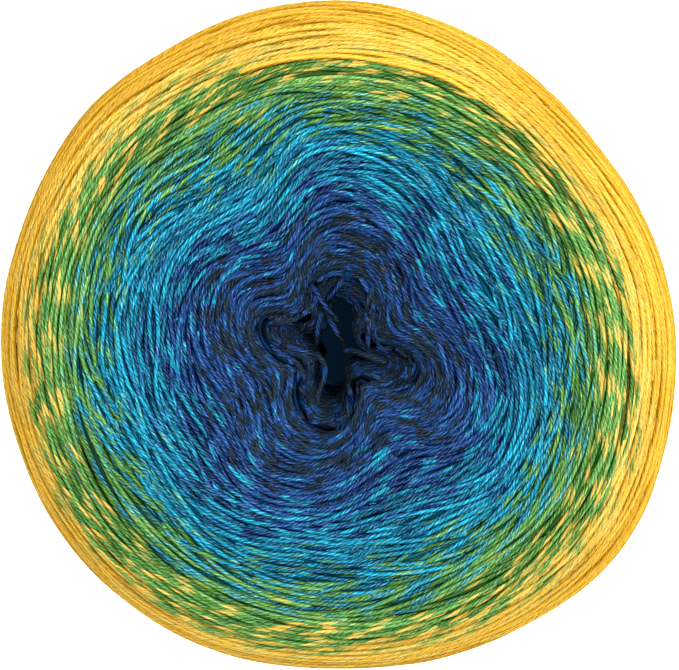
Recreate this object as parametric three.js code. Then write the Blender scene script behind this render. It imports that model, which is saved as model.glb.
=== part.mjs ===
// A yarn cake lying on its flat end: one body of wound yarn with a folded shaft through its middle.
// Millimetres, +Z up. The origin is on the surface that the cake rests on, under the middle of its box.
import * as THREE from "three";

// Driving dimensions.
const CAKE_RADIUS = 73; // mean radius at the widest height
const CAKE_HEIGHT = 70;
const SHAFT_RADIUS = 7.7; // mean radius of the shaft, deep inside
const ANGLE_STEPS = 96;

// Mean radii of the rings at which the folds are given.
const RINGS = { shaft: SHAFT_RADIUS, mouth: 13.2, inner: 28, middle: 40, outer: 50, rim: 64 };

// The middle has collapsed sideways: its centre lies this far from the axis of the winding.
const MOUTH_CENTRE = { x: 0.3, y: -1.2 };

// The folds and lobes of the collapsed middle, anticlockwise from +X.
// turnMouth, turnInner and turnOuter are a fold's direction in degrees at those rings,
// and the other columns are how far it moves each ring outwards, or inwards where negative.
const FOLDS = [
  { turnMouth: 17, turnInner: 30, turnOuter: 33, shaft: -4.0, mouth: -6.4, inner: -5.5, middle: -3.0, outer: -2.0 },
  { turnMouth: 90, turnInner: 88, turnOuter: 98, shaft: 5.0, mouth: 4.3, inner: 3.0, middle: 2.4, outer: 1.6 },
  { turnMouth: 138, turnInner: 119, turnOuter: 119, shaft: -3.4, mouth: -3.2, inner: -5.0, middle: -4.0, outer: -1.2 },
  { turnMouth: 160, turnInner: 154, turnOuter: 155, shaft: 1.6, mouth: 4.5, inner: 2.0, middle: 0.8, outer: 0.7 },
  { turnMouth: 203, turnInner: 208, turnOuter: 210, shaft: -3.8, mouth: -3.9, inner: -3.4, middle: -1.4, outer: -0.4 },
  { turnMouth: 262, turnInner: 244, turnOuter: 240, shaft: 5.2, mouth: 5.0, inner: 2.6, middle: 1.8, outer: 0.2 },
  { turnMouth: 303, turnInner: 301, turnOuter: 290, shaft: -4.1, mouth: -5.1, inner: -3.9, middle: -2.6, outer: -0.9 },
  { turnMouth: 345, turnInner: 332, turnOuter: 327, shaft: 3.6, mouth: 4.6, inner: 3.6, middle: 3.2, outer: 1.5 },
];
const SHARP_FOLD = 1.25; // power of the folds' ease at the shaft, where they are pinched
const ROUND_FOLD = 2; // and at the outer ring, where they are round

// Places where the outline stands out of its circle or falls short of it: direction, size, half width.
const OUTLINE_BUMPS = [
  { turn: 40, size: -2.7, width: 25 },
  { turn: 95, size: 0.9, width: 20 },
  { turn: 135, size: 1.1, width: 10 },
  { turn: 270, size: -2.0, width: 24 },
  { turn: 325, size: 3.1, width: 22 },
];

// Corners of the section between the shaft, the top, the side and the base, each rounded from cut before it
// to cut after it. roundSteps divide the rounding, and lineSteps the straight stretch to the next corner.
const CORNERS = [
  { name: "foot of the shaft", ring: SHAFT_RADIUS, height: 0, cut: 7, roundSteps: 3, lineSteps: 4 },
  { name: "throat", ring: SHAFT_RADIUS, height: CAKE_HEIGHT - 18, cut: 10, roundSteps: 4, lineSteps: 1 },
  { name: "lip", ring: 15, height: CAKE_HEIGHT - 7, cut: 4.2, roundSteps: 3, lineSteps: 6 },
  { name: "crown", ring: 44, height: CAKE_HEIGHT + 0.5, cut: 13, roundSteps: 6, lineSteps: 1 },
  { name: "shoulder", ring: CAKE_RADIUS - 0.6, height: CAKE_HEIGHT - 1.4, cut: 14, roundSteps: 7, lineSteps: 2 },
  { name: "side", ring: CAKE_RADIUS + 0.6, height: CAKE_HEIGHT / 2, cut: 16, roundSteps: 5, lineSteps: 2 },
  { name: "base edge", ring: CAKE_RADIUS - 1.2, height: 0, cut: 12, roundSteps: 5, lineSteps: 3 },
];

// The winding leaves low ridges: rings that wind slowly outwards on the top, and two sets of
// slanting bands that cross on the side.
const RIDGE_HEIGHT = 0.6;
const TOP_RIDGES = { pitch: 7.2, arms: 3, from: 17, to: 66, blend: 6 };
const SIDE_BANDS = { pitch: 18.5, arms: 10, from: 6, to: CAKE_HEIGHT - 6, blend: 12 };

const YARN_COLOUR = 0x2c8f9c;

const TURN = 2 * Math.PI;
const { clamp, lerp, smoothstep, degToRad } = THREE.MathUtils;

// A value that runs straight from each [place, value] pair to the next.
function alongPairs(pairs, place) {
  let last = pairs[0];
  for (const next of pairs) {
    if (place <= next[0]) {
      const part = next[0] > last[0] ? clamp((place - last[0]) / (next[0] - last[0]), 0, 1) : 0;
      return lerp(last[1], next[1], part);
    }
    last = next;
  }
  return last[1];
}

// One fold at one ring: its direction in radians, and how far it moves the ring.
function foldAt(fold, ring) {
  const turns = [[RINGS.mouth, fold.turnMouth], [RINGS.inner, fold.turnInner], [RINGS.outer, fold.turnOuter]];
  const names = ["shaft", "mouth", "inner", "middle", "outer"];
  const moves = names.map((name) => [RINGS[name], fold[name]]);
  return { turn: degToRad(alongPairs(turns, ring)), move: alongPairs([...moves, [RINGS.rim, 0]], ring) };
}

// How far all the folds together move a ring in one direction.
function foldMove(ring, angle) {
  const folds = FOLDS.map((fold) => foldAt(fold, ring));
  const firstTurn = folds[0].turn;
  const place = firstTurn + THREE.MathUtils.euclideanModulo(angle - firstTurn, TURN);
  folds.push({ turn: firstTurn + TURN, move: folds[0].move });
  const next = folds.findIndex((fold) => fold.turn >= place && fold !== folds[0]);
  const [a, b] = [folds[next - 1], folds[next]];
  const [low, high] = a.move < b.move ? [a, b] : [b, a];
  const part = (place - low.turn) / (high.turn - low.turn);
  const power = lerp(SHARP_FOLD, ROUND_FOLD, smoothstep(ring, RINGS.shaft, RINGS.outer));
  return lerp(low.move, high.move, Math.sin((part * Math.PI) / 2) ** power);
}

function bumpMove(ring, angle) {
  const share = smoothstep(ring, RINGS.outer, CAKE_RADIUS);
  const sizes = OUTLINE_BUMPS.map((bump) => {
    const apart = THREE.MathUtils.euclideanModulo(angle - degToRad(bump.turn) + Math.PI, TURN) - Math.PI;
    return bump.size * Math.exp(-((apart / degToRad(bump.width)) ** 2));
  });
  return share * sizes.reduce((sum, size) => sum + size, 0);
}

// The section as rows of points, each with its ring, its height and the direction out of the yarn there.
function sectionRows() {
  const points = CORNERS.flatMap((corner, index) => {
    const at = new THREE.Vector2(corner.ring, corner.height);
    const previous = CORNERS.at(index - 1);
    const following = CORNERS[(index + 1) % CORNERS.length];
    const toward = (other) => new THREE.Vector2(other.ring, other.height).sub(at).setLength(corner.cut).add(at);
    const rounding = new THREE.QuadraticBezierCurve(toward(previous), at, toward(following));
    const start = rounding.v2;
    const end = new THREE.Vector2(following.ring, following.height);
    end.add(at.clone().sub(end).setLength(following.cut));
    const line = new THREE.LineCurve(start, end);
    return [...rounding.getPoints(corner.roundSteps), ...line.getPoints(corner.lineSteps).slice(1, -1)];
  });
  return points.map((point, index) => {
    const along = points[(index + 1) % points.length].clone().sub(points.at(index - 1)).normalize();
    return { ring: point.x, height: point.y, out: new THREE.Vector2(-along.y, along.x) };
  });
}

// Height of the winding ridges over the plain section.
function ridgeMove(row, angle) {
  const rings = TOP_RIDGES;
  const onTop = row.height > CAKE_HEIGHT / 2 ? 1 : 0;
  const topShare =
    onTop *
    smoothstep(row.ring, rings.from, rings.from + rings.blend) *
    (1 - smoothstep(row.ring, rings.to - rings.blend, rings.to));
  const spiral = Math.cos((TURN * row.ring) / rings.pitch + rings.arms * angle);
  const bands = SIDE_BANDS;
  const onSide = row.ring > RINGS.outer ? 1 : 0;
  const sideShare =
    onSide *
    smoothstep(row.height, bands.from, bands.from + bands.blend) *
    (1 - smoothstep(row.height, bands.to - bands.blend, bands.to));
  const slant = (TURN * row.height) / bands.pitch;
  const crossing = Math.max(Math.cos(slant + bands.arms * angle), Math.cos(slant - bands.arms * angle));
  return RIDGE_HEIGHT * (topShare * spiral + sideShare * crossing);
}

// The point of the yarn's surface on one row of the section, in one direction.
function surfacePoint(row, angle) {
  const radius = row.ring + foldMove(row.ring, angle) + bumpMove(row.ring, angle);
  const ridge = ridgeMove(row, angle);
  const centred = 1 - smoothstep(row.ring, RINGS.mouth, RINGS.outer);
  const reach = radius + ridge * row.out.x;
  return new THREE.Vector3(
    MOUTH_CENTRE.x * centred + reach * Math.cos(angle),
    MOUTH_CENTRE.y * centred + reach * Math.sin(angle),
    row.height + ridge * row.out.y,
  );
}

// The whole surface, closed along the section and round the axis, centred on its box.
function yarnBody() {
  const rows = sectionRows();
  const positions = [];
  const faces = [];
  rows.forEach((row, r) => {
    const nextRow = (r + 1) % rows.length;
    for (let step = 0; step < ANGLE_STEPS; step += 1) {
      const nextStep = (step + 1) % ANGLE_STEPS;
      positions.push(...surfacePoint(row, (TURN * step) / ANGLE_STEPS));
      const [a, b] = [r * ANGLE_STEPS + step, r * ANGLE_STEPS + nextStep];
      const [c, d] = [nextRow * ANGLE_STEPS + step, nextRow * ANGLE_STEPS + nextStep];
      faces.push(a, c, b, b, c, d);
    }
  });
  const geometry = new THREE.BufferGeometry();
  geometry.setAttribute("position", new THREE.Float32BufferAttribute(positions, 3));
  geometry.setIndex(faces);
  geometry.computeBoundingBox();
  const middle = geometry.boundingBox.getCenter(new THREE.Vector3());
  geometry.translate(-middle.x, -middle.y, 0);
  geometry.computeVertexNormals();
  return geometry;
}

const woundYarn = new THREE.Mesh(
  yarnBody(),
  new THREE.MeshStandardMaterial({ color: YARN_COLOUR, roughness: 0.95, metalness: 0 }),
);
woundYarn.name = "wound_yarn";

const yarnCake = new THREE.Group();
yarnCake.add(woundYarn);

export default yarnCake;
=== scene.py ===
"""A cake of gradient yarn on a pale floor, seen from above: every turn of yarn that shows is modelled."""
import math

import bpy
import numpy as np
from mathutils import Matrix, Vector


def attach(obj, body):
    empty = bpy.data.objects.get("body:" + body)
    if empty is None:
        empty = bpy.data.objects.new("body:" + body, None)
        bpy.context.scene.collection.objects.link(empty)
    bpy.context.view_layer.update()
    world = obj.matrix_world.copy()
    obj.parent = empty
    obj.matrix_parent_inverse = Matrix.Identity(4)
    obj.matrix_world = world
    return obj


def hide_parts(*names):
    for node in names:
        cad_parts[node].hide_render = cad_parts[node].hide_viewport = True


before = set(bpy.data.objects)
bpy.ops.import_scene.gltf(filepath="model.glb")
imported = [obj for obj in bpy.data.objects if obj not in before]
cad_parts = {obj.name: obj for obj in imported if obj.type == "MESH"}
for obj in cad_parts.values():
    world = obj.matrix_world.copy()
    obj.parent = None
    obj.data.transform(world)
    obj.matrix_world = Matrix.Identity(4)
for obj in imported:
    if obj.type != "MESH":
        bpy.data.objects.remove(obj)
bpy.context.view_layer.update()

MM = 0.001
TURN = 2 * math.pi

# The form of the winding, in millimetres, as in the solid.
CAKE_RADIUS = 73.0
CAKE_HEIGHT = 70.0
SHAFT_RADIUS = 7.7
RINGS = {"shaft": SHAFT_RADIUS, "mouth": 13.2, "inner": 28.0, "middle": 40.0, "outer": 50.0, "rim": 64.0}
MOUTH_CENTRE = (0.3, -1.2)

# Folds and lobes of the collapsed middle: directions at the mouth, inner and outer ring in degrees,
# then how far each moves the shaft, mouth, inner, middle and outer ring outwards.
FOLDS = (
    ((17, 30, 33), (-4.0, -6.4, -5.5, -3.0, -2.0)),
    ((90, 88, 98), (5.0, 4.3, 3.0, 2.4, 1.6)),
    ((138, 119, 119), (-3.4, -3.2, -5.0, -4.0, -1.2)),
    ((160, 154, 155), (1.6, 4.5, 2.0, 0.8, 0.7)),
    ((203, 208, 210), (-3.8, -3.9, -3.4, -1.4, -0.4)),
    ((262, 244, 240), (5.2, 5.0, 2.6, 1.8, 0.2)),
    ((303, 301, 290), (-4.1, -5.1, -3.9, -2.6, -0.9)),
    ((345, 332, 327), (3.6, 4.6, 3.6, 3.2, 1.5)),
)
SHARP_FOLD, ROUND_FOLD = 1.25, 2.0

# Bumps of the outline: direction in degrees, size, half width in degrees.
OUTLINE_BUMPS = ((40, -2.7, 25), (95, 0.9, 20), (135, 1.1, 10), (270, -2.0, 24), (325, 3.1, 22))

# Corners of the section, each with its ring, its height and where its rounding begins.
FOOT = (SHAFT_RADIUS, 0.0, 7.0)
THROAT = (SHAFT_RADIUS, CAKE_HEIGHT - 18, 10.0)
LIP = (15.0, CAKE_HEIGHT - 7, 4.2)
CROWN = (44.0, CAKE_HEIGHT + 0.5, 13.0)
SHOULDER = (CAKE_RADIUS - 0.6, CAKE_HEIGHT - 1.4, 14.0)
SIDE = (CAKE_RADIUS + 0.6, CAKE_HEIGHT / 2, 16.0)
BASE_EDGE = (CAKE_RADIUS - 1.2, 0.0, 12.0)
CORNERS = (FOOT, THROAT, LIP, CROWN, SHOULDER, SIDE, BASE_EDGE)

# Ridges that the winding leaves on the top and the side: half as high as in the solid, because here
# the turns themselves stand out as well.
RIDGE_HEIGHT = 0.3
TOP_RIDGES = {"pitch": 7.2, "arms": 3, "from": 17.0, "to": 66.0, "blend": 6.0}
SIDE_BANDS = {"pitch": 18.5, "arms": 10, "from": 6.0, "to": CAKE_HEIGHT - 6, "blend": 12.0}

# The yarn: threads laid round each other.
YARN_RADIUS = 0.62
THREADS = 4
MIXED_ORDER = 0.382  # sets threads of unlike dye next to each other
PLY_PITCH = 11.0
EASE_PASSES = 3
YARN_ROUGHNESS = 0.62
LAYOUT_GAP = 0.5  # left free between two strands on the flat layout
END_THICKNESS = 0.4  # of a strand's two ends, as a share of its middle's
END_TAPER = (-0.5, 2.0)  # the lengths from an end between which it thickens

# How the strands are laid, in millimetres: from the start of one to the next in a row, their length,
# how far they drift across the rows, the steps of their tubes, and the share that lean either way.
CENTRE_LAY = {"spacing": 10.0, "length": 16.5, "drift": 3.6, "step": 1.35, "mixed": 0.45}
TOP_LAY = {"spacing": 13.5, "length": 22.5, "drift": 4.8, "step": 1.8, "mixed": 0.35}
RIM_LAY = {"spacing": 38.0, "length": 66.0, "drift": 4.0, "step": 3.0, "mixed": 0.4}
SIDE_LAY = {"spacing": 40.0, "length": 62.0, "drift": 8.0, "step": 5.0, "mixed": 0.7}
BASE_LAY = {"spacing": 30.0, "length": 44.0, "drift": 2.6, "step": 3.6, "mixed": 0.5}
CROSSED = -1.0  # the lower strands lean the other way
ROW_PITCH = 1.0  # from one row of strands to the next
BRICK_SHIFT = 0.38  # and how far each row starts past the one before it, in strands

# How unevenly they are laid: first as shares or multiples of their own measures, then in millimetres,
# and how far their dyes differ in thread changes.
LENGTH_RANGE = (0.8, 1.25)
LONGEST_SHARE = 0.7  # of the way round the ring
START_SHIFT = 0.18
DRIFT_RANGE = (0.7, 1.3)
WAVES_TO_A_STRAND = (0.6, 1.4)
WAVE_SIZE = 0.28
ROUTE_SHIFT = 0.25
LIFT_RANGE = (-0.28, 0.12)
TUCK_DEPTH = 1.4
TUCK_SHARE = 0.26  # of a strand, at each end
DYE_SPREAD = 0.55

# How deep the lower strands and the winding under them lie, in millimetres.
LOWER_DEPTH = 0.4
SIDE_LOWER_DEPTH = 1.2
BASE_DEPTH = 0.15
UNDER_DEPTH = 1.1
UNDER_DEPTH_INSIDE = 1.75  # in the shaft and its mouth
UNDER_GRID = (100, 144)  # its points along the section and round the cake

# The turns that hang in front of the shaft's wall, furthest in at one direction.
HANGING_DEPTH = 1.7
HANGING_LEAN = 0.7
HANGING_TURN = 30.0
HANGING_REACH = 24.0
HANGING_BLEND = 8.0

# The slanting fibres of a strand, and the painted highlight on their crests: pale colour added to the base
# colour.
MARK_PITCH = 1.35
MARK_STARTS = 5
PAINTED_GLEAM = 0.06

# How much of its colour a place keeps, as a gain and a base: painted shade and light by the fibres' marks,
# painted shade away from the crown of a thread, its strand's own tone, and painted shade down the strand's
# sides.
PAINTED_MARK_SHADE = (0.62, 0.62)
PAINTED_CROWN_SHADE = (0.4, 0.66)
TONE_SHADE = (0.7, 0.64)
PAINTED_SIDE_SHADE = (0.7, 0.32)

# Between these changes the yarn turns to whole stretches of one dye or the other, which its threads share.
DARK_STRETCHES = (8.0, 11.5)
# Past DEEP_DYES the painted shade down a strand's sides is lifted, since a strand there is seen from its
# side.
DEEP_DYES = (12.0, 13.6)  # from here on, down in the shaft, a strand is seen from its side
STRETCHES_PER_MM = 0.16
STRETCH_REACH = 7.0  # how many changes these move the dye
DARK_SPREAD = 1.6  # and how many its threads then differ by
LEAST_DYE = (10.0, 11.8, -9.0, 8.2)  # between the first two, no thread's dye falls below the last two

# The turns round the side: each swings between the two ends, and the next starts a little further round.
LOOP_COUNT = 120
LOOP_POINTS = 140
LOOP_ADVANCE = 36.24  # in degrees
LOOP_SWING = 37.0
LOOP_MARGIN = 8.0
LOOP_PACK = 0.8  # how far the pile of turns presses together
LOOP_LIFTS = (-3.0, 0.5)  # lowest and highest over the surface
LOOP_TUCK = 1.3  # how far they sink to pass under the rim and the base
LOOP_DYE = (-1.5, 0.8)  # mean and spread of the change of their dye
APEX_SPREAD = 0.02  # how unevenly they start, in radians, and swing and lie, in millimetres
SWING_SPREAD = 1.6
SHIFT_SPREAD = 1.2
SIDE_PIECES = 4

# Cells in which the pile is kept: round the cake, and along its section in millimetres.
ANGLE_CELLS = 3 * LOOP_POINTS
WAY_CELL = 0.55
CELL_REACH = int(YARN_RADIUS / WAY_CELL) + 1
LEVEL_SPREAD = (14, 12)

# Single strands on the top: how far their dye is from their neighbours', how high they lie, and their points.
PLACED_STRANDS = (
    (-6.0, 0.6, ((-24, 55.5), (-12, 58.6), (0, 59.6), (12, 58.0), (24, 54.5), (33, 48.5))),
    (-6.0, 0.5, ((-19, 58.0), (-6, 60.4), (8, 60.2), (20, 57.0), (30, 52.5), (38, 45.5))),
    (-6.0, 0.4, ((3, 59.0), (12, 58.6), (21, 56.8), (30, 53.8))),
    (1.0, 0.9, ((-48.2, 11.5), (-48.6, 5), (-49.4, -3), (-49.0, -9))),
    (-0.5, 0.9, ((-39.6, 11.5), (-37.8, 4.5), (-38.2, -8), (-37.6, -13), (-35.6, -18.5))),
)

# Strands that cross the shaft: their dye, and their points as x, y and how far they lie under the top.
SHAFT_STRANDS = (
    (11.6, ((-5.6, 11.5, 10), (-4.1, 9.0, 8.8), (-2.5, 6.7, 9.5), (-0.7, 4.5, 11), (0.2, 3.0, 14))),
    (12.6, ((-2.6, 5.6, 12.5), (-0.5, 1.4, 14), (1.0, -1.2, 17), (1.4, -3.0, 20))),
    (12.0, ((1.6, 13.0, 9.5), (0.7, 11.4, 9), (-0.6, 9.7, 9.5), (-2.0, 8.1, 12), (-3.0, 6.6, 16))),
    (12.4, ((-4.0, 10.0, 10), (-4.4, 8.8, 9), (-5.5, 6.0, 9.8), (-7.1, 2.5, 11), (-8.0, 1.0, 13))),
    (12.4, ((-3.2, 6.0, 12), (-3.8, 4.1, 10.2), (-4.4, -0.1, 12.4), (-4.6, -2.0, 16))),
    (13.0, ((-12, -1.6, 8.5), (-9.6, -2.1, 8), (-6.8, -3.1, 8.5), (-3.6, -4.0, 9.5), (-2.6, -6.7, 11))),
    (13.6, ((-3.6, -4, 11.5), (-2.4, -6.7, 10.8), (-3.1, -10, 12.5), (-4.4, -12.6, 11.5), (-4, -14.5, 10))),
    (13.8, ((0.6, -3.4, 16), (2.1, -3.0, 14), (4.1, -3.2, 11), (7.5, -4.4, 9.2), (10.5, -5.4, 9))),
)
# Painted shade: the ends of these strands are moved towards the black dye, to darken into the shaft's shade.
END_SHADE_DYE = 4.0  # how many changes further their ends are, so that these are lost in the dark

# Strands that lie over the others and cross them, in any place: first and last ring, and how many.
CROSSING_ROWS = ((15.0, 30.0, 14), (30.0, 45.0, 22), (45.0, 58.0, 26))
LONG_LENGTHS = (26, 46)
LONG_SHARE = 0.45  # of the way round the ring, at most
LONG_STEP = 1.8
LONG_DRIFTS = (2.5, 6)
LONG_BOW = 1.2
LONG_LIFT = 0.5
LONG_TUCK_DEPTH = 2.2
LONG_TUCK_SHARE = 0.22
LONG_DYE_SPREAD = 0.5
LONG_TONES = (0.5, 1)


def smooth_share(value, low, high):
    """0 below low, 1 above high, and smooth between."""
    part = np.clip((value - low) / (high - low), 0, 1)
    return part * part * (3 - 2 * part)


def section_points():
    """The section's points, closely spaced, as rings and heights."""
    points = []
    for index, (ring, height, cut) in enumerate(CORNERS):
        at = np.array([ring, height])
        before = np.array(CORNERS[index - 1][:2])
        after = np.array(CORNERS[(index + 1) % len(CORNERS)][:2])
        next_cut = CORNERS[(index + 1) % len(CORNERS)][2]
        start = at + (before - at) * cut / np.linalg.norm(before - at)
        end = at + (after - at) * cut / np.linalg.norm(after - at)
        part = np.linspace(0, 1, 41)[:, None]
        points.append((1 - part) ** 2 * start + 2 * part * (1 - part) * at + part**2 * end)
        line_end = after + (at - after) * next_cut / np.linalg.norm(at - after)
        points.append(end + np.linspace(0, 1, 41)[1:-1, None] * (line_end - end))
    points.append(points[0][:1])
    return np.vstack(points)


SECTION = section_points()
WAYS = np.r_[0, np.cumsum(np.linalg.norm(np.diff(SECTION, axis=0), axis=1))]
SECTION_OUT = np.gradient(SECTION, axis=0) @ np.array([[0, 1], [-1, 0]])
SECTION_OUT /= np.linalg.norm(SECTION_OUT, axis=1)[:, None]


def way_at(ring=None, height=None, beyond=0.0):
    """The way along the section, past beyond, where it first reaches a ring outwards or a height."""
    column, value = (0, ring) if height is None else (1, height)
    offset = SECTION[:, column] - value
    crosses = np.flatnonzero((offset[:-1] * offset[1:] <= 0) & (WAYS[:-1] >= beyond))
    return float(WAYS[crosses[0]])


def fold_move(ring, angle):
    """How far the folds move each ring outwards in each direction."""
    turn_rings = [RINGS["mouth"], RINGS["inner"], RINGS["outer"]]
    move_rings = [RINGS[name] for name in ("shaft", "mouth", "inner", "middle", "outer", "rim")]
    turns = np.array([np.interp(ring, turn_rings, np.radians(turn)) for turn, _ in FOLDS])
    moves = np.array([np.interp(ring, move_rings, (*move, 0.0)) for _, move in FOLDS])
    place = np.mod(angle - turns[0], TURN)
    turns = np.vstack([turns - turns[0], np.full((1, len(place)), TURN)])
    moves = np.vstack([moves, moves[:1]])
    power = SHARP_FOLD + (ROUND_FOLD - SHARP_FOLD) * smooth_share(ring, RINGS["shaft"], RINGS["outer"])
    total = np.zeros_like(place)
    for index in range(len(FOLDS)):
        between = (place >= turns[index]) & (place < turns[index + 1])
        part = (place - turns[index]) / (turns[index + 1] - turns[index])
        rising = moves[index] < moves[index + 1]
        part = np.clip(np.where(rising, part, 1 - part), 0, 1)
        low = np.minimum(moves[index], moves[index + 1])
        high = np.maximum(moves[index], moves[index + 1])
        eased = low + (high - low) * np.sin(part * math.pi / 2) ** power
        total = np.where(between, eased, total)
    return total


def bump_move(ring, angle):
    """How far the bumps of the outline move each ring outwards."""
    total = 0.0
    for turn, size, width in OUTLINE_BUMPS:
        apart = np.mod(angle - math.radians(turn) + math.pi, TURN) - math.pi
        total = total + size * np.exp(-((apart / math.radians(width)) ** 2))
    return total * smooth_share(ring, RINGS["outer"], CAKE_RADIUS)


def between_share(value, band):
    """1 inside a band and 0 outside it, blended at both edges."""
    low, high, blend = band["from"], band["to"], band["blend"]
    return smooth_share(value, low, low + blend) * (1 - smooth_share(value, high - blend, high))


def ridge_move(ring, height, angle):
    """How high the ridges of the winding stand."""
    top_share = (height > CAKE_HEIGHT / 2) * between_share(ring, TOP_RIDGES)
    spiral = np.cos(TURN * ring / TOP_RIDGES["pitch"] + TOP_RIDGES["arms"] * angle)
    side_share = (ring > RINGS["outer"]) * between_share(height, SIDE_BANDS)
    slant = TURN * height / SIDE_BANDS["pitch"]
    turned = SIDE_BANDS["arms"] * angle
    crossing = np.maximum(np.cos(slant + turned), np.cos(slant - turned))
    return RIDGE_HEIGHT * (top_share * spiral + side_share * crossing)


def raw_surface(way, angle):
    """Points of the solid's surface before it is centred on its box."""
    way = np.mod(way, WAYS[-1])
    ring = np.interp(way, WAYS, SECTION[:, 0])
    height = np.interp(way, WAYS, SECTION[:, 1])
    out_ring = np.interp(way, WAYS, SECTION_OUT[:, 0])
    out_height = np.interp(way, WAYS, SECTION_OUT[:, 1])
    ridge = ridge_move(ring, height, angle)
    reach = ring + fold_move(ring, angle) + bump_move(ring, angle) + ridge * out_ring
    centred = 1 - smooth_share(ring, RINGS["mouth"], RINGS["outer"])
    x = MOUTH_CENTRE[0] * centred + reach * np.cos(angle)
    y = MOUTH_CENTRE[1] * centred + reach * np.sin(angle)
    return np.stack([x, y, height + ridge * out_height], axis=-1)


def box_middle():
    """Where the middle of the surface's box lies from the axis of the winding."""
    ways, angles = np.meshgrid(np.linspace(WAYS[0], WAYS[-1], 120), np.linspace(0, TURN, 361))
    points = raw_surface(ways.ravel(), angles.ravel())
    return (points.min(0) + points.max(0)) / 2 * np.array([1, 1, 0])


BOX_MIDDLE = box_middle()


def surface(way, angle):
    return raw_surface(way, angle) - BOX_MIDDLE


def surface_out(way, angle):
    """Unit directions out of the yarn."""
    step, turn_step = 0.25, 0.006
    along = surface(way + step, angle) - surface(way - step, angle)
    around = surface(way, angle + turn_step) - surface(way, angle - turn_step)
    out = np.cross(along, around)
    return out / np.linalg.norm(out, axis=1)[:, None]


# Landmarks along the section.
WAY_SHAFT_LOW = way_at(height=8.0)
WAY_MOUTH = way_at(ring=RINGS["mouth"], beyond=WAY_SHAFT_LOW)
WAY_INNER = way_at(ring=RINGS["inner"])
WAY_OUTER = way_at(ring=42.0)
WAY_RIM = way_at(ring=55.0)
WAY_SHOULDER = way_at(ring=68.0)
WAY_SIDE = way_at(height=CAKE_HEIGHT / 2, beyond=WAY_RIM)
WAY_BASE = way_at(height=0.05, beyond=WAY_SIDE)
WAY_RIM_END = way_at(height=CAKE_HEIGHT - 24, beyond=WAY_RIM)

# The dye runs through four steps, a thread or two at a time, from each colour to the next.
# Rings at which each numbered thread change happens, from the outside in.
DYE_CHANGES = (
    (72.0, -4.0),
    (67.0, -0.5),
    (64.5, 1.0),
    (62.5, 2.3),
    (57.5, 3.5),
    (55.0, 4.6),
    (49.3, 5.5),
    (45.3, 7.4),
    (41.5, 8.5),
    (36.3, 9.4),
    (29.0, 11.7),
    (25.0, 12.8),
    (14.0, 14.1),
    (6.0, 15.4),
)
DYE_LEAN = (-1.4, -2.6)  # how far the colour changes on the top lie off the axis, in millimetres
WIDE_PATCHES = 0.45  # how many changes the dye differs by from patch to patch
SMALL_PATCHES = 1.9  # and in the middle, where the patches are small


def dye_at(way, angle):
    """How many thread changes the yarn at a place has been through, from the outside of the cake in."""
    ring = np.interp(way, WAYS, SECTION[:, 0])
    lean = DYE_LEAN[0] * np.cos(angle) + DYE_LEAN[1] * np.sin(angle)
    leaning = ring - lean * smooth_share(ring, RINGS["mouth"], RINGS["middle"])
    rings, changes = zip(*reversed(DYE_CHANGES))
    wide = WIDE_PATCHES * np.sin(11 * angle + 0.21 * ring) * np.sin(0.37 * ring + 3 * angle)
    small = SMALL_PATCHES * np.sin(13 * angle + 0.4 * ring) * np.sin(0.8 * ring - 6 * angle)
    outer_share = smooth_share(ring, RINGS["inner"], RINGS["middle"])
    return np.interp(leaning, rings, changes) + small + (wide - small) * outer_share


class Strands:
    """Turns of yarn laid on the surface of the winding, which one piece is joined from."""

    def __init__(self, sides):
        self.sides = sides
        self.ways = []
        self.angles = []
        self.lifts = []
        self.dyes = []
        self.tones = []
        self.turns = []

    def add(self, way, angle, lift, dye_shift, tone, turn):
        """One strand: its route, its height over the surface, and its own shade and lay."""
        self.ways.append(way)
        self.angles.append(angle)
        self.lifts.append(lift)
        self.dyes.append(dye_at(way, angle) + dye_shift)
        self.tones.append(tone)
        self.turns.append(turn)

    def counts(self):
        return np.array([len(dye) for dye in self.dyes])

    def laid(self):
        """Points on the strands' middles, and the directions out of the winding there."""
        way, angle = np.concatenate(self.ways), np.concatenate(self.angles)
        out = surface_out(way, angle)
        lift = np.concatenate(self.lifts) - YARN_RADIUS
        return surface(way, angle) + out * lift[:, None], out


class LooseStrands(Strands):
    """Strands that hang free, given by the points of their middles."""

    def __init__(self, sides):
        super().__init__(sides)
        self.routes = []

    def add_route(self, route, dye, tone, turn):
        self.routes.append(route)
        self.dyes.append(dye + END_SHADE_DYE * np.linspace(-1, 1, len(route)) ** 2)
        self.tones.append(tone)
        self.turns.append(turn)

    def laid(self):
        centre = np.concatenate(self.routes)
        return centre, np.tile([0.0, 0.0, 1.0], (len(centre), 1))


def eased_centres(centre, starts, ends):
    """The points with their sharpest bends eased, and each strand's two ends kept."""
    kept = np.zeros(len(centre), dtype=bool)
    kept[starts] = kept[ends] = True
    for _ in range(EASE_PASSES):
        eased = (np.roll(centre, 1, axis=0) + 2 * centre + np.roll(centre, -1, axis=0)) / 4
        centre = np.where(kept[:, None], centre, eased)
    return centre


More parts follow.
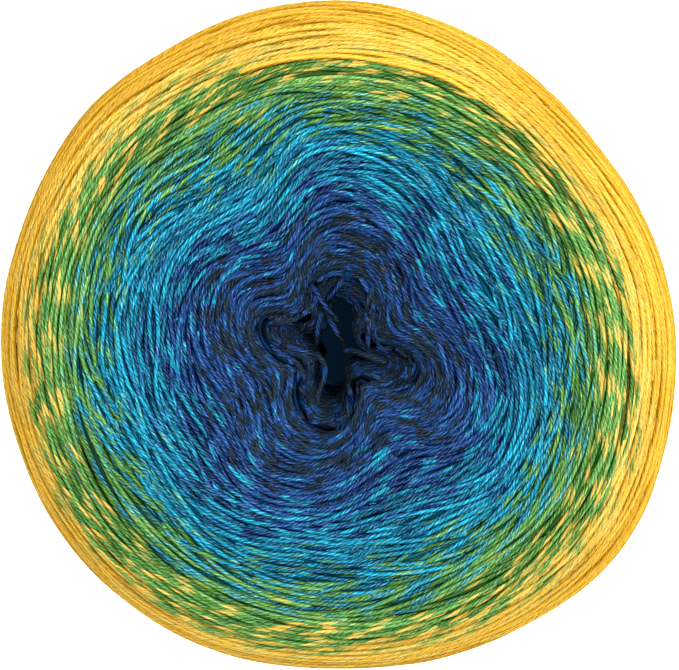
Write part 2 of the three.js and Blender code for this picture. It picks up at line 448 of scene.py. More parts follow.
def strand_rings(strands):
    """Rings of points round each strand, the way along it, and its first and last ring."""
    counts = strands.counts()
    centre, out = strands.laid()
    starts = np.r_[0, np.cumsum(counts)[:-1]]
    ends = np.cumsum(counts) - 1
    centre = eased_centres(centre, starts, ends)
    ahead = np.roll(centre, -1, axis=0)
    behind = np.roll(centre, 1, axis=0)
    ahead[ends] = centre[ends]
    behind[starts] = centre[starts]
    tangent = ahead - behind
    tangent /= np.linalg.norm(tangent, axis=1)[:, None]
    side = np.cross(tangent, out)
    side /= np.linalg.norm(side, axis=1)[:, None]
    up = np.cross(side, tangent)
    total = np.cumsum(np.linalg.norm(centre - behind, axis=1))
    along = total - np.repeat(total[starts], counts)
    left = np.repeat(along[ends], counts) - along
    whole_share = smooth_share(np.minimum(along, left), *END_TAPER)
    radius = YARN_RADIUS * (END_THICKNESS + (1 - END_THICKNESS) * whole_share)
    spin = TURN * np.arange(strands.sides) / strands.sides
    around = np.cos(spin)[None, :, None] * side[:, None, :] + np.sin(spin)[None, :, None] * up[:, None, :]
    return centre[:, None, :] + radius[:, None, None] * around, along, starts, ends


def strand_faces(rings, starts, ends, sides):
    """Quads along each strand and over its two ends, as vertex numbers."""
    first = np.setdiff1d(np.arange(len(rings)), ends)
    spin = np.arange(sides)
    here = first[:, None] * sides
    following = (spin + 1) % sides
    walls = np.stack([here + spin, here + sides + spin, here + sides + following, here + following], axis=-1)
    caps = []
    for low in range(1, sides - 2, 2):
        corners = np.array([0, low, low + 1, low + 2])
        caps.append(starts[:, None] * sides + corners)
        caps.append(ends[:, None] * sides + corners[::-1])
    return first, walls.reshape(-1, 4), np.concatenate(caps)


def corner_turns(sides):
    """How far round the yarn the four corners of each of its sides lie, as shares of a turn."""
    spin = np.arange(sides)
    return np.stack([spin, spin, spin + 1, spin + 1], axis=-1) / sides


def strand_places(first, along, caps, sides):
    """The way along the yarn and round it, at every corner."""
    near, far = along[first], along[first + 1]
    lengths = np.stack([near, far, far, near], axis=-1)[:, None, :]
    shape = (len(first), sides, 4)
    walls = np.stack([np.broadcast_to(lengths, shape), np.broadcast_to(corner_turns(sides), shape)], axis=-1)
    ends = np.stack([along[caps // sides], caps % sides / sides], axis=-1)
    return np.concatenate([walls.reshape(-1, 2), ends.reshape(-1, 2)])


def layout_places(first, along, caps, sides):
    """The flat layout: each step of each strand in a cell of its own, and the ends inside their cells."""
    girth = TURN * YARN_RADIUS
    step = np.mean(along[first + 1] - along[first])
    per_row = int(math.sqrt(len(first) * (girth + LAYOUT_GAP) / step)) + 1
    rows = -(-len(first) // per_row)
    column, row = np.arange(len(first)) % per_row, np.arange(len(first)) // per_row
    across = np.stack([column, column + 1, column + 1, column], axis=-1)[:, None, :] / per_row
    fill = girth / (girth + LAYOUT_GAP)
    upward = (row[:, None, None] + 0.5 * (1 - fill) + corner_turns(sides) * fill) / rows
    walls = np.stack([np.broadcast_to(across, upward.shape), upward], axis=-1)
    spin = caps % sides / sides * TURN
    cell = np.clip(np.searchsorted(first, caps[:, :1] // sides), 0, len(first) - 1)
    cap_across = (column[cell] + 0.5 + 0.4 * np.cos(spin)) / per_row
    cap_upward = (row[cell] + 0.5 + 0.3 * np.sin(spin)) / rows
    ends = np.stack([cap_across, cap_upward], axis=-1)
    return np.concatenate([walls.reshape(-1, 2), ends.reshape(-1, 2)])


def add_point_value(mesh, name, values):
    attribute = mesh.attributes.new(name, "FLOAT", "POINT")
    attribute.data.foreach_set("value", np.asarray(values, dtype=np.float32))


def add_map(mesh, name, places):
    mesh.uv_layers.new(name=name).data.foreach_set("uv", np.asarray(places, dtype=np.float32).ravel())


def show(mesh, name, material):
    """A mesh as a piece of the cake."""
    mesh.materials.append(material)
    mesh.polygons.foreach_set("use_smooth", np.ones(len(mesh.polygons), dtype=bool))
    mesh.update()
    piece = bpy.data.objects.new(name, mesh)
    bpy.context.scene.collection.objects.link(piece)
    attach(piece, "root")
    return piece


def strand_piece(name, strands, material):
    """The strands joined to one piece."""
    sides = strands.sides
    rings, along, starts, ends = strand_rings(strands)
    first, walls, caps = strand_faces(rings, starts, ends, sides)
    mesh = bpy.data.meshes.new(name)
    mesh.from_pydata(rings.reshape(-1, 3) * MM, [], np.concatenate([walls, caps]))
    add_map(mesh, "Strand", strand_places(first, along, caps, sides))
    add_map(mesh, "OFBake", layout_places(first, along, caps, sides))
    counts = strands.counts()
    dye = np.concatenate(strands.dyes)
    tone = np.repeat(strands.tones, counts)
    turn = along / PLY_PITCH + np.repeat(strands.turns, counts)
    for label, values in (("dye", dye), ("tone", tone), ("turns", turn)):
        add_point_value(mesh, label, np.repeat(values, sides))
    show(mesh, name, material)


def under_piece(material):
    """The inside of the winding, seen between the strands, darkened with painted shade."""
    rows, columns = UNDER_GRID
    ways = np.linspace(WAYS[0], WAYS[-1], rows, endpoint=False)
    angles = np.linspace(0, TURN, columns, endpoint=False)
    way, angle = [grid.ravel() for grid in np.meshgrid(ways, angles, indexing="ij")]
    ring = np.interp(way, WAYS, SECTION[:, 0])
    outside = smooth_share(ring, RINGS["mouth"], RINGS["inner"])
    depth = UNDER_DEPTH_INSIDE + (UNDER_DEPTH - UNDER_DEPTH_INSIDE) * outside
    points = surface(way, angle) - surface_out(way, angle) * depth[:, None]
    row, column = np.meshgrid(np.arange(rows), np.arange(columns), indexing="ij")
    next_row, next_column = (row + 1) % rows, (column + 1) % columns
    corners = [row * columns + column, next_row * columns + column]
    corners += [next_row * columns + next_column, row * columns + next_column]
    faces = np.stack(corners, axis=-1).reshape(-1, 4)
    mesh = bpy.data.meshes.new("inner_winding")
    mesh.from_pydata(points * MM, [], faces)
    across = np.stack([row, row + 1, row + 1, row], axis=-1).reshape(-1) / rows
    upward = np.stack([column, column, column + 1, column + 1], axis=-1).reshape(-1) / columns
    add_map(mesh, "OFBake", np.stack([across, upward], axis=-1))
    add_point_value(mesh, "dye", dye_at(way, angle))
    add_point_value(mesh, "way", way)
    piece = show(mesh, "inner_winding", material)
    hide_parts("wound_yarn")


def ring_angles(way):
    """Lengths round the ring at one way along the section, and the angle at each."""
    angles = np.linspace(0, TURN, 721)
    points = surface(np.full(len(angles), way), angles)
    lengths = np.r_[0, np.cumsum(np.linalg.norm(np.diff(points, axis=0), axis=1))]
    return lengths, angles


def tucked(part, sink, share=TUCK_SHARE):
    """0 along the middle of a strand, falling to -sink where its two ends pass under their neighbours."""
    return -sink * (1 - smooth_share(np.minimum(part, 1 - part), 0, share))


def lean_at(way, angle):
    """How far and which way the strands lean, patch by patch, from -1 to 1."""
    patches = math.sin(3 * angle + 0.11 * way + 1.0) + 0.7 * math.sin(5 * angle - 0.23 * way)
    return math.tanh(1.6 * patches)


def ring_rows(strands, random, low, high, lay, raised=lambda way, angle: 0.0, leaning=1.0):
    """Rows of strands along the rings, each with its ends under its neighbours."""
    begin = random.uniform(0, lay["spacing"])
    for way in np.arange(low, high, ROW_PITCH):
        lengths, angles = ring_angles(way)
        whole = lengths[-1]
        count = max(3, round(whole / lay["spacing"]))
        begin += BRICK_SHIFT * lay["spacing"]
        for index in range(count):
            length = min(lay["length"] * random.uniform(*LENGTH_RANGE), LONGEST_SHARE * whole)
            start = begin + (index + random.uniform(-START_SHIFT, START_SHIFT)) * whole / count
            part = np.linspace(0, 1, max(6, round(length / lay["step"])))
            angle = np.interp(np.mod(start + part * length, whole), lengths, angles)
            lean = lean_at(way, angle[len(angle) // 2])
            if random.uniform() < lay["mixed"]:
                lean = random.uniform(-1, 1)
            drift = leaning * lean * random.uniform(*DRIFT_RANGE) * lay["drift"] * (part - 0.5)
            turned = TURN * (part * random.uniform(*WAVES_TO_A_STRAND) + random.uniform())
            wave = WAVE_SIZE * np.sin(turned)
            route = way + random.uniform(-ROUTE_SHIFT, ROUTE_SHIFT) + drift + wave
            lift = tucked(part, TUCK_DEPTH) + random.uniform(*LIFT_RANGE) + raised(route, angle)
            dye_shift = random.normal(0, DYE_SPREAD)
            strands.add(route, angle, lift, dye_shift, random.uniform(), random.uniform())


def long_strands(strands, random, rows):
    """Longer strands that lie over the others and cross them."""
    for low, high, count in rows:
        for _ in range(count):
            way = random.uniform(low, high)
            lengths, angles = ring_angles(way)
            whole = lengths[-1]
            length = min(random.uniform(*LONG_LENGTHS), LONG_SHARE * whole)
            start = random.uniform(0, whole)
            part = np.linspace(0, 1, round(length / LONG_STEP))
            angle = np.interp(np.mod(start + part * length, whole), lengths, angles)
            drift = random.choice([-1, 1]) * random.uniform(*LONG_DRIFTS) * (part - 0.5)
            bow = random.uniform(-LONG_BOW, LONG_BOW) * np.sin(math.pi * part)
            lift = LONG_LIFT + tucked(part, LONG_TUCK_DEPTH, LONG_TUCK_SHARE)
            dye_shift = random.normal(0, LONG_DYE_SPREAD)
            tone = random.uniform(*LONG_TONES)
            strands.add(way + drift + bow, angle, lift, dye_shift, tone, random.uniform())


def curve_through(points, step):
    """A smooth route through points, in steps of about one length."""
    points = np.array(points, dtype=float)
    apart = np.linalg.norm(np.diff(points, axis=0), axis=1)
    knots = np.r_[0, np.cumsum(apart)]
    route = []
    for index in range(len(points) - 1):
        before, after = points[max(index - 1, 0)], points[min(index + 2, len(points) - 1)]
        here, there = points[index], points[index + 1]
        part = np.arange(0, 1, step / (knots[index + 1] - knots[index]))[:, None]
        bend_here, bend_there = (there - before) / 2, (after - here) / 2
        square, cube = part**2, part**3
        route.append(
            (2 * cube - 3 * square + 1) * here
            + (cube - 2 * square + part) * bend_here
            + (3 * square - 2 * cube) * there
            + (cube - square) * bend_there
        )
    route.append(points[-1:])
    return np.vstack(route)


def way_and_angle(x, y):
    """Where the top of the winding has these x and y, in millimetres."""
    x, y = x + BOX_MIDDLE[0], y + BOX_MIDDLE[1]
    ring = np.hypot(x, y)
    for _ in range(12):
        centred = 1 - smooth_share(ring, RINGS["mouth"], RINGS["outer"])
        away_x, away_y = x - MOUTH_CENTRE[0] * centred, y - MOUTH_CENTRE[1] * centred
        angle = np.arctan2(away_y, away_x)
        moved = fold_move(ring, angle) + bump_move(ring, angle)
        ring = ring + 0.7 * (np.hypot(away_x, away_y) - ring - moved)
    on_top = (WAYS > WAY_MOUTH) & (WAYS < WAY_SIDE)
    return np.interp(ring, SECTION[on_top, 0], WAYS[on_top]), angle


def placed_strands(strands, random):
    """The single strands that catch the eye, each through its own points on the top."""
    for dye_shift, lift, points in PLACED_STRANDS:
        route = curve_through(points, 1.6)
        way, angle = way_and_angle(route[:, 0], route[:, 1])
        part = np.linspace(0, 1, len(route))
        height = lift + tucked(part, lift + 1.2, 0.15)
        strands.add(way, angle, height, dye_shift, 0.9, random.uniform())


class SidePile:
    """How high the turns round the side have piled up, over cells round the cake and along its section."""

    def __init__(self):
        self.way_low = WAY_SIDE - LOOP_SWING - LOOP_MARGIN
        self.heights = np.zeros((ANGLE_CELLS, int(2 * (LOOP_SWING + LOOP_MARGIN) / WAY_CELL) + 2))

    def columns(self, angle):
        return (np.mod(angle, TURN) / TURN * ANGLE_CELLS).astype(int) % ANGLE_CELLS

    def rows(self, way, offset=0):
        row = np.round((way - self.way_low) / WAY_CELL + offset).astype(int)
        return np.clip(row, 0, self.heights.shape[1] - 1)

    def under(self, way, angle):
        """What a turn on this route would rest on."""
        support = np.zeros(len(angle))
        for offset in range(-CELL_REACH, CELL_REACH + 1):
            beside = self.heights[self.columns(angle), self.rows(way, offset)]
            support = np.maximum(support, beside - 0.25 * abs(offset))
        return support

    def lay(self, way, angle, centre):
        """Raises the pile to the top of a turn on this route."""
        for offset in range(-CELL_REACH, CELL_REACH + 1):
            near = self.rows(way, offset)
            crown = centre + math.sqrt(max(0, YARN_RADIUS**2 - (offset * WAY_CELL) ** 2))
            for side_step in (-1, 0, 1):
                place = (self.columns(angle) + side_step) % ANGLE_CELLS
                self.heights[place, near] = np.maximum(self.heights[place, near], crown * LOOP_PACK)

    def level(self):
        """The top of the pile, evened out round the cake and along its section."""
        level = self.heights
        for axis, mode in ((0, "wrap"), (1, "edge")):
            width = LEVEL_SPREAD[axis]
            margins = [(width, width) if axis == index else (0, 0) for index in range(2)]
            total = np.cumsum(np.pad(level, margins, mode=mode), axis=axis)
            upper = np.take(total, np.arange(2 * width, total.shape[axis]), axis=axis)
            lower = np.take(total, np.arange(0, total.shape[axis] - 2 * width), axis=axis)
            level = (upper - lower) / (2 * width)
        return level


def evened_round(values, reach):
    """Values round a closed turn, each the mean of its neighbours' within reach."""
    wrapped = np.r_[values[-reach:], values, values[:reach]]
    return np.convolve(wrapped, np.ones(2 * reach + 1) / (2 * reach + 1), mode="valid")


def loop_route(index, random):
    """One whole turn round the side, which swings up on one half of the cake and down on the other."""
    apex = index * math.radians(LOOP_ADVANCE) + random.normal(0, APEX_SPREAD)
    swing = LOOP_SWING + random.normal(0, SWING_SPREAD)
    shift = random.normal(0, SHIFT_SPREAD)
    angle = apex + np.linspace(0, TURN, LOOP_POINTS)
    wave = 0.5 * np.sin(2 * angle + random.uniform(0, TURN))
    wave = wave + 0.3 * np.sin(5 * angle + random.uniform(0, TURN))
    turned = np.cos(angle - apex)
    way = WAY_SIDE + shift + swing * (0.5 * turned + 0.5 * np.sin(turned * math.pi / 2)) + wave
    return way, angle


def side_loops(random):
    """The turns round the side with their heights, in the order they were wound, and the pile they make."""
    pile = SidePile()
    loops = []
    for index in range(LOOP_COUNT):
        way, angle = loop_route(index, random)
        support = pile.under(way, angle)
        bridged = np.maximum.reduce([np.roll(support, shift) for shift in range(-2, 3)])
        centre = evened_round(bridged, 4) + YARN_RADIUS
        pile.lay(way, angle, centre)
        loops.append((way, angle, centre * LOOP_PACK))
    return loops, pile


def side_strands(random):
    """The turns round the side, in a few pieces, with the newest turns outermost."""
    loops, pile = side_loops(random)
    level = pile.level()
    pieces = [Strands(6) for _ in range(SIDE_PIECES)]
    for index, (way, angle, centre) in enumerate(loops):
        above = centre + YARN_RADIUS - level[pile.columns(angle), pile.rows(way)]
        lift = evened_round(np.clip(above, *LOOP_LIFTS), 2)
        under_rim = 1 - smooth_share(way, WAY_RIM_END - 5, WAY_RIM_END + 1)
        under_base = smooth_share(way, WAY_BASE - 8, WAY_BASE - 3)
        lift = lift - LOOP_TUCK * np.maximum(under_rim, under_base)
        tone, turn = random.uniform(), random.uniform()
        dye_shift = random.normal(*LOOP_DYE)
        pieces[index * SIDE_PIECES // LOOP_COUNT].add(way, angle, lift, dye_shift, tone, turn)
    return pieces


class Graph:
    """A short way to write a material's nodes."""

    def __init__(self, name):
        self.material = bpy.data.materials.new(name)
        self.material.use_nodes = True
        self.tree = self.material.node_tree
        self.shader = self.tree.nodes["Principled BSDF"]

    def node(self, kind, *values, **settings):
        made = self.tree.nodes.new(kind)
        for name, value in settings.items():
            setattr(made, name, value)
        for socket, value in zip(made.inputs, values):
            self.put(socket, value)
        return made

    def put(self, socket, value):
        if isinstance(value, bpy.types.NodeSocket):
            self.tree.links.new(value, socket)
        elif value is not None:
            socket.default_value = value

    def math(self, operation, *values):
        return self.node("ShaderNodeMath", *values, operation=operation).outputs[0]

    def scaled(self, value, factor, offset=0.0):
        return self.math("MULTIPLY_ADD", value, factor, offset)

    def product(self, first, *others):
        for other in others:
            first = self.math("MULTIPLY", first, other)
        return first

    def ranged(self, value, low, high, at_low, at_high):
        """A number that runs from at_low to at_high while the value runs from low to high."""
        return self.node("ShaderNodeMapRange", value, low, high, at_low, at_high).outputs[0]

    def value(self, name):
        return self.node("ShaderNodeAttribute", attribute_name=name, attribute_type="GEOMETRY").outputs["Fac"]

    def ramp(self, place, stops):
        made = self.node("ShaderNodeValToRGB", place)
        elements = made.color_ramp.elements
        while len(elements) < len(stops):
            elements.new(0.5)
        for element, (position, colour) in zip(elements, stops):
            element.position = position
            element.color = (*colour, 1)
        return made.outputs["Color"]

    def noise(self, x, y):
        """Soft noise between 0 and 1 over two coordinates."""
        place = self.node("ShaderNodeCombineXYZ", x, y).outputs[0]
        made = self.node("ShaderNodeTexNoise", place, noise_dimensions="2D")
        made.inputs["Scale"].default_value = 1.0
        return made.outputs[0]

    def bump(self, height, strength):
        """Relief on the finished surface, with its height in millimetres."""
        made = self.node("ShaderNodeBump")
        made.inputs["Strength"].default_value = strength
        made.inputs["Distance"].default_value = MM
        self.put(made.inputs["Height"], height)
        self.put(self.shader.inputs["Normal"], made.outputs[0])

    def shaded(self, colour, factor):
        """A colour times a number."""
        return self.node("ShaderNodeVectorMath", colour, None, None, factor, operation="SCALE").outputs[0]


def from_screen(red, green, blue):
    """A colour named in screen values of 0 to 255."""
    parts = [part / 255 for part in (red, green, blue)]
    return tuple(part / 12.92 if part <= 0.04045 else ((part + 0.055) / 1.055) ** 2.4 for part in parts)


COLOURS = {
    "yellow": from_screen(203, 158, 47),
    "green": from_screen(77, 127, 57),
    "turquoise": from_screen(8, 119, 147),
    "blue": from_screen(20, 58, 109),
    "black": from_screen(22, 36, 49),
}
PALE_YELLOW = from_screen(190, 163, 74)  # of the yellow threads that lie among green ones
CHANGES_PER_COLOUR = 4
DYE_BLENDS = (0.8, 1.0, 0.8, 0.4)  # in thread changes, from yellow to green and so on


def dye_ramp(graph, dye, blends):
    """The colour after this many thread changes, blended this far on both sides of each change of colour."""
    names = list(COLOURS)
    whole = CHANGES_PER_COLOUR * len(names)
    place = graph.math("DIVIDE", graph.math("ADD", dye, float(CHANGES_PER_COLOUR)), float(whole))
    stops = [(0.0, COLOURS[names[0]])]
    for index, blend in enumerate(blends):
        edge = CHANGES_PER_COLOUR * (index + 1)
        before = PALE_YELLOW if index == 0 else COLOURS[names[index]]
        stops.append(((edge - blend) / whole, before))
        stops.append(((edge + blend) / whole, COLOURS[names[index + 1]]))
    return graph.ramp(place, stops)


def slanting_marks(graph, along, around, tone):
    """The slant of the fibres: from 0 in the furrows between them to 1 on their crests."""
    uneven = graph.noise(graph.scaled(along, 0.9), graph.scaled(tone, 70.0, around))
    slant = graph.scaled(uneven, 1.2, graph.scaled(along, 1 / MARK_PITCH))
    slant = graph.math("SUBTRACT", slant, graph.scaled(around, MARK_STARTS))
    wave = graph.math("SINE", graph.scaled(slant, TURN))
    return graph.scaled(wave, graph.scaled(uneven, 0.8, 0.05), 0.5)


def thread_dye(graph, along, tone, thread):
    """How many changes one thread has been through: every thread has its own share, uneven along it."""
    point_dye = graph.value("dye")
    lay = graph.scaled(tone, 90.0, graph.scaled(thread, 7.0))
    drift = graph.scaled(graph.noise(graph.scaled(along, 0.22), lay), 2.0, -1.0)
    order = graph.math("FRACT", graph.scaled(thread, MIXED_ORDER))
    spread = graph.ranged(point_dye, *DARK_STRETCHES, -CHANGES_PER_COLOUR, -DARK_SPREAD)
    middle = graph.scaled(point_dye, 1.0, -CHANGES_PER_COLOUR / 2)
    dye = graph.scaled(graph.scaled(order, 1.0, -0.4), spread, middle)
    stretches = graph.noise(graph.scaled(along, STRETCHES_PER_MM), graph.scaled(tone, 90.0, 30.0))
    inside = graph.ranged(point_dye, *DARK_STRETCHES, 0.0, STRETCH_REACH)
    moved = graph.product(graph.scaled(stretches, 2.0, -1.0), inside)
    dye = graph.math("ADD", graph.math("ADD", dye, drift), moved)
    return graph.math("MAXIMUM", dye, graph.ranged(point_dye, *LEAST_DYE))


def painted_yarn_shade(graph, mark, streaks, crown, tone, side, dye):
    """Painted shade: how much of its colour each place keeps, least in the furrows and down the sides of a
    strand, with painted light on the fibres' crests and each strand's own tone mixed in.
    """
    shade = graph.product(
        graph.math("POWER", graph.scaled(mark, *PAINTED_MARK_SHADE), graph.ranged(dye, 8.0, 12.0, 1.0, 0.45)),
        streaks,
        graph.scaled(crown, *PAINTED_CROWN_SHADE),
        graph.scaled(tone, *TONE_SHADE),
        graph.scaled(side, *PAINTED_SIDE_SHADE),
    )
    # The painted shade is made weaker on the yellow, and weaker deep in the shaft.
    bright = graph.ranged(dye, 0.0, 3.0, 0.3, 1.0)
    deep_inside = graph.ranged(graph.value("dye"), 13.2, 14.6, 1.0, 0.5)
    return graph.math("POWER", shade, graph.product(bright, deep_inside))


def painted_side_gamma(graph, tone, side, dye):
    """Painted shade: the dyes are made deeper down the sides of a strand, the yellow and the black least of
    all.
    """
    deeper = graph.scaled(side, -0.45, graph.scaled(tone, -0.3, 0.6))
    share = graph.product(graph.ranged(dye, -2.0, 2.0, 0.7, 1.0), graph.ranged(dye, 9.0, 12.0, 1.0, 0.0))
    return graph.scaled(deeper, share, 1.0)


def painted_crest_highlight(graph, mark, streaks, side, dye):
    """A painted highlight: pale colour added to the base colour on the fibres' crests."""
    dulled = graph.ranged(dye, 8.0, 13.0, 1.0, 0.4)
    gleam = graph.product(graph.math("POWER", mark, 4.0), side, streaks, dulled, PAINTED_GLEAM)
    return graph.node("ShaderNodeCombineXYZ", gleam, gleam, gleam).outputs[0]


def yarn_material():
    """Threads laid round each other, each with its own dye and the slant of its fibres, with painted shade
    and painted highlights in the base colour.
    """
    graph = Graph("yarn")
    strand = graph.node("ShaderNodeSeparateXYZ", graph.node("ShaderNodeUVMap", uv_map="Strand").outputs[0])
    along, around = strand.outputs[0], strand.outputs[1]
    tone = graph.value("tone")
    mark = slanting_marks(graph, along, around, tone)
    unwound = graph.math("SUBTRACT", graph.scaled(mark, 0.03, around), graph.value("turns"))
    threads = graph.scaled(graph.math("FRACT", unwound), THREADS)
    crown = graph.math("SINE", graph.scaled(graph.math("FRACT", threads), math.pi))
    # side runs from 1 on the top of a strand to 0 down its sides and sets the painted shade there; deep in
    # the shaft it is raised.
    side = graph.ranged(graph.math("SINE", graph.scaled(around, TURN)), 0.45, 1.0, 0.0, 1.0)
    side = graph.math("MAXIMUM", side, graph.ranged(graph.value("dye"), *DEEP_DYES, 0.0, 0.75))
    streaks = graph.noise(graph.scaled(along, 0.6), graph.scaled(unwound, 10.0, graph.scaled(tone, 50.0)))
    streaks = graph.ranged(streaks, 0.3, 0.7, 0.5, 1.4)
    dye = thread_dye(graph, along, tone, graph.math("FLOOR", threads))

    colour = dye_ramp(graph, dye, DYE_BLENDS)
    colour = graph.node("ShaderNodeGamma", colour, painted_side_gamma(graph, tone, side, dye)).outputs[0]
    colour = graph.shaded(colour, painted_yarn_shade(graph, mark, streaks, crown, tone, side, dye))
    painted_highlight = painted_crest_highlight(graph, mark, streaks, side, dye)
    colour = graph.node("ShaderNodeVectorMath", colour, painted_highlight, operation="ADD").outputs[0]
    graph.put(graph.shader.inputs["Base Color"], colour)
    graph.bump(graph.scaled(crown, 0.16, graph.scaled(mark, 0.12)), 0.9)
    soft_finish(graph.shader)
    return graph.material


def soft_finish(shader):
    shader.inputs["Roughness"].default_value = YARN_ROUGHNESS
    shader.inputs["Specular IOR Level"].default_value = 0.0


def inner_shaded_material():
    """The turns deeper in, their colour darkened as painted shade, ribbed with painted shade and a faint
    bump.
    """
    graph = Graph("inner_yarn_painted_shade")
    colour = dye_ramp(graph, graph.math("ADD", graph.value("dye"), -1.5), (1.8,) * 4)
    rib_relief_and_shade = graph.math("SINE", graph.scaled(graph.value("way"), TURN / ROW_PITCH))
    evenness = graph.ranged(graph.value("dye"), 0.0, 10.0, 0.4, 1.0)
    shade = graph.math("POWER", graph.scaled(rib_relief_and_shade, 0.22, 0.36), evenness)
    graph.put(graph.shader.inputs["Base Color"], graph.shaded(colour, shade))
    graph.bump(graph.scaled(rib_relief_and_shade, 0.3), 1.0)
    soft_finish(graph.shader)
    return graph.material


def shaft_strands(random):
    strands = LooseStrands(8)
    for dye, points in SHAFT_STRANDS:
        places = [(x, y, CAKE_HEIGHT - under) for x, y, under in points]
        # Their low tone darkens them as painted shade in the shaft.
        strands.add_route(curve_through(places, 1.2), dye, 0.15, random.uniform())
    return strands


def crossing_strands(random):
    strands = Strands(8)
    rows = [(way_at(ring=low), way_at(ring=high), count) for low, high, count in CROSSING_ROWS]
    long_strands(strands, random, rows)
    placed_strands(strands, random)
    return strands


def hanging_rows(random):
    """Turns that have sunk a little way into the shaft, in front of its wall."""

    def in_front(way, angle):
        uneven = 1 + HANGING_LEAN * np.cos(angle - math.radians(HANGING_TURN))
        return HANGING_DEPTH * uneven * smooth_share(WAY_MOUTH - way, 0, HANGING_BLEND)

    strands = Strands(8)
    ring_rows(strands, random, WAY_MOUTH - HANGING_REACH, WAY_MOUTH - 1, CENTRE_LAY, in_front)
    return strands


def top_pieces():
    """The strands in sight: each piece's name, its tubes' sides, its first and last way, and its lay."""
    return (
        ("shaft_wall", 6, WAY_SHAFT_LOW, WAY_MOUTH, CENTRE_LAY),
        ("mouth", 8, WAY_MOUTH, WAY_INNER, CENTRE_LAY),
        ("inner_rings", 8, WAY_INNER, WAY_OUTER, TOP_LAY),
        ("outer_rings", 8, WAY_OUTER, WAY_RIM, TOP_LAY),
        ("rim", 6, WAY_RIM, WAY_RIM_END, RIM_LAY),
    )


def lower_pieces():
    """The strands between and below them: each piece's name, how deep it lies, its ways, and its lay."""
    return (
        ("mouth_lower", LOWER_DEPTH, WAY_MOUTH, WAY_INNER, CENTRE_LAY),
        ("inner_rings_lower", LOWER_DEPTH, WAY_INNER, WAY_OUTER, TOP_LAY),
        ("outer_rings_lower", LOWER_DEPTH, WAY_OUTER, WAY_RIM, TOP_LAY),
        ("rim_lower", LOWER_DEPTH, WAY_RIM, WAY_SHOULDER, RIM_LAY),
        ("side_lower", SIDE_LOWER_DEPTH, WAY_RIM_END - 6, WAY_BASE - 2, SIDE_LAY),
        ("base", BASE_DEPTH, WAY_BASE - 4, WAYS[-1] + WAY_SHAFT_LOW, BASE_LAY),
    )


def build_cake():
    yarn, inner = yarn_material(), inner_shaded_material()
    under_piece(inner)
    for seed, (name, sides, low, high, lay) in enumerate(top_pieces()):
        strands = Strands(sides)
        ring_rows(strands, np.random.default_rng(seed), low, high, lay)
        strand_piece(name, strands, yarn)
    for seed, (name, depth, low, high, lay) in enumerate(lower_pieces()):
        strands = Strands(6)
        random = np.random.default_rng(20 + seed)
        ring_rows(strands, random, low, high, lay, lambda way, angle: -depth, CROSSED)
        strand_piece(name, strands, yarn)
    random = np.random.default_rng(40)
    strand_piece("crossing_strands", crossing_strands(random), yarn)
    strand_piece("shaft_strands", shaft_strands(random), yarn)
    strand_piece("hanging_turns", hanging_rows(random), yarn)
    for index, strands in enumerate(side_strands(np.random.default_rng(41))):
        strand_piece(f"side_turns_{index + 1}", strands, yarn)


# The photograph's view: its width in pixels, the pixels to a millimetre at the cake's widest height,
# and the camera's tilt from straight above, towards a direction in degrees.
PICTURE_WIDTH = 679
PIXELS_PER_MM = 4.52
CAMERA_DISTANCE = 700.0
CAMERA_TILT = 3.0
CAMERA_TURN = 55.0
VIEW_CENTRE = (-0.1, -0.5, 38.0)

# The lights: their names, their places and sizes in metres, and their power.
LIGHTS = (
    ("key", (0.55, 0.35, 0.65), 0.35, 9),
    ("fill", (-0.5, -0.3, 0.8), 0.8, 3),
    ("overhead", (0.08, 0.05, 1.0), 0.3, 8),
)
LIGHT_TARGET = (0, 0, 0.04)
WORLD_STRENGTH = 0.55

# The floor, in metres, and how strongly it glows; its square under the cake, seen through the shaft, is
# painted shade, dark and faintly glowing.
FLOOR_REACH = 3.0
SHADE_FLOOR_REACH = 0.04
FLOOR_GAP = 0.0002
FLOOR_GLOW = 0.8
SHADE_FLOOR_GLOW = 0.5
SHADE_FLOOR_COLOUR = from_screen(7, 24, 39)


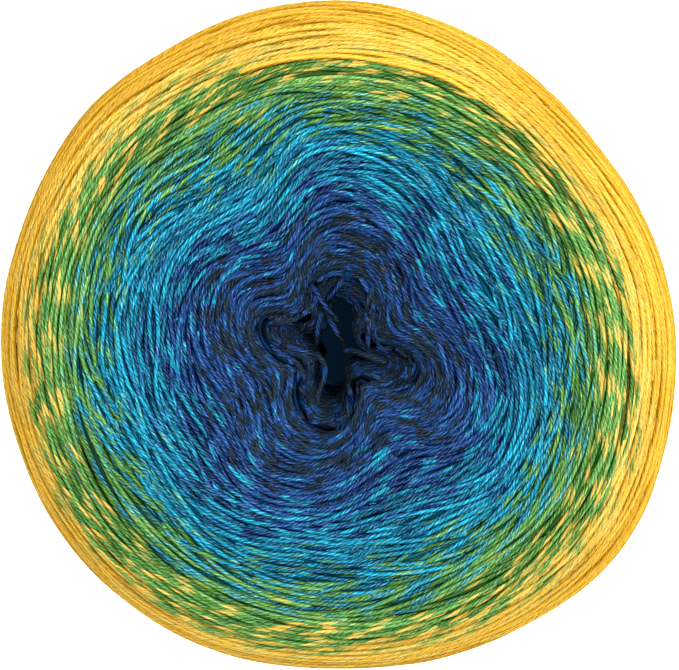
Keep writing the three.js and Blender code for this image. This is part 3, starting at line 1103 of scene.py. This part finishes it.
def add_camera():
    data = bpy.data.cameras.new("camera")
    camera = bpy.data.objects.new("camera", data)
    bpy.context.scene.collection.objects.link(camera)
    bpy.context.scene.camera = camera
    data.sensor_width = 36
    data.lens = data.sensor_width * CAMERA_DISTANCE / (PICTURE_WIDTH / PIXELS_PER_MM)
    data.clip_start = 0.05
    tilt, turn = math.radians(CAMERA_TILT), math.radians(CAMERA_TURN)
    back = np.array([math.sin(tilt) * math.cos(turn), math.sin(tilt) * math.sin(turn), math.cos(tilt)])
    right = np.cross([0, 1, 0], back)
    right /= np.linalg.norm(right)
    up = np.cross(back, right)
    place = (np.array(VIEW_CENTRE) + back * CAMERA_DISTANCE) * MM
    camera.matrix_world = Matrix(np.vstack([np.column_stack([right, up, back, place]), [0, 0, 0, 1]]))


def add_light(name, place, size, power):
    """A square soft light at a place in metres, turned to the cake."""
    data = bpy.data.lights.new(name, "AREA")
    data.shape = "SQUARE"
    data.size = size
    data.energy = power
    light = bpy.data.objects.new(name, data)
    light.location = place
    light.rotation_euler = (Vector(LIGHT_TARGET) - Vector(place)).to_track_quat("-Z", "Y").to_euler()
    bpy.context.scene.collection.objects.link(light)


def floor_material(name, colour, glow):
    graph = Graph(name)
    graph.shader.inputs["Base Color"].default_value = (*colour, 1)
    graph.shader.inputs["Roughness"].default_value = 0.9
    graph.shader.inputs["Specular IOR Level"].default_value = 0.0
    graph.shader.inputs["Emission Color"].default_value = (*colour, 1)
    graph.shader.inputs["Emission Strength"].default_value = glow
    return graph.material


def add_studio():
    scene = bpy.context.scene
    scene.view_settings.view_transform = "Standard"
    world = bpy.data.worlds.new("studio")
    world.use_nodes = True
    background = world.node_tree.nodes["Background"]
    background.inputs["Color"].default_value = (1, 1, 1, 1)
    background.inputs["Strength"].default_value = WORLD_STRENGTH
    scene.world = world
    for light in LIGHTS:
        add_light(*light)


def add_floor():
    """A pale floor, with painted shade in the square under the cake that shows through the shaft."""
    around = ((-1, -1), (1, -1), (1, 1), (-1, 1))
    corners = [(x * reach, y * reach, 0) for reach in (FLOOR_REACH, SHADE_FLOOR_REACH) for x, y in around]
    sides = [(side, (side + 1) % 4, 4 + (side + 1) % 4, 4 + side) for side in range(4)]
    mesh = bpy.data.meshes.new("floor")
    mesh.from_pydata(corners, [], [*sides, (4, 5, 6, 7)])
    mesh.materials.append(floor_material("floor", (1, 1, 1), FLOOR_GLOW))
    mesh.materials.append(floor_material("floor_painted_shade_under_cake", SHADE_FLOOR_COLOUR, SHADE_FLOOR_GLOW))
    mesh.polygons[4].material_index = 1
    floor = bpy.data.objects.new("floor", mesh)
    floor.location.z = -FLOOR_GAP
    bpy.context.scene.collection.objects.link(floor)


add_camera()
add_studio()
add_floor()
build_cake()
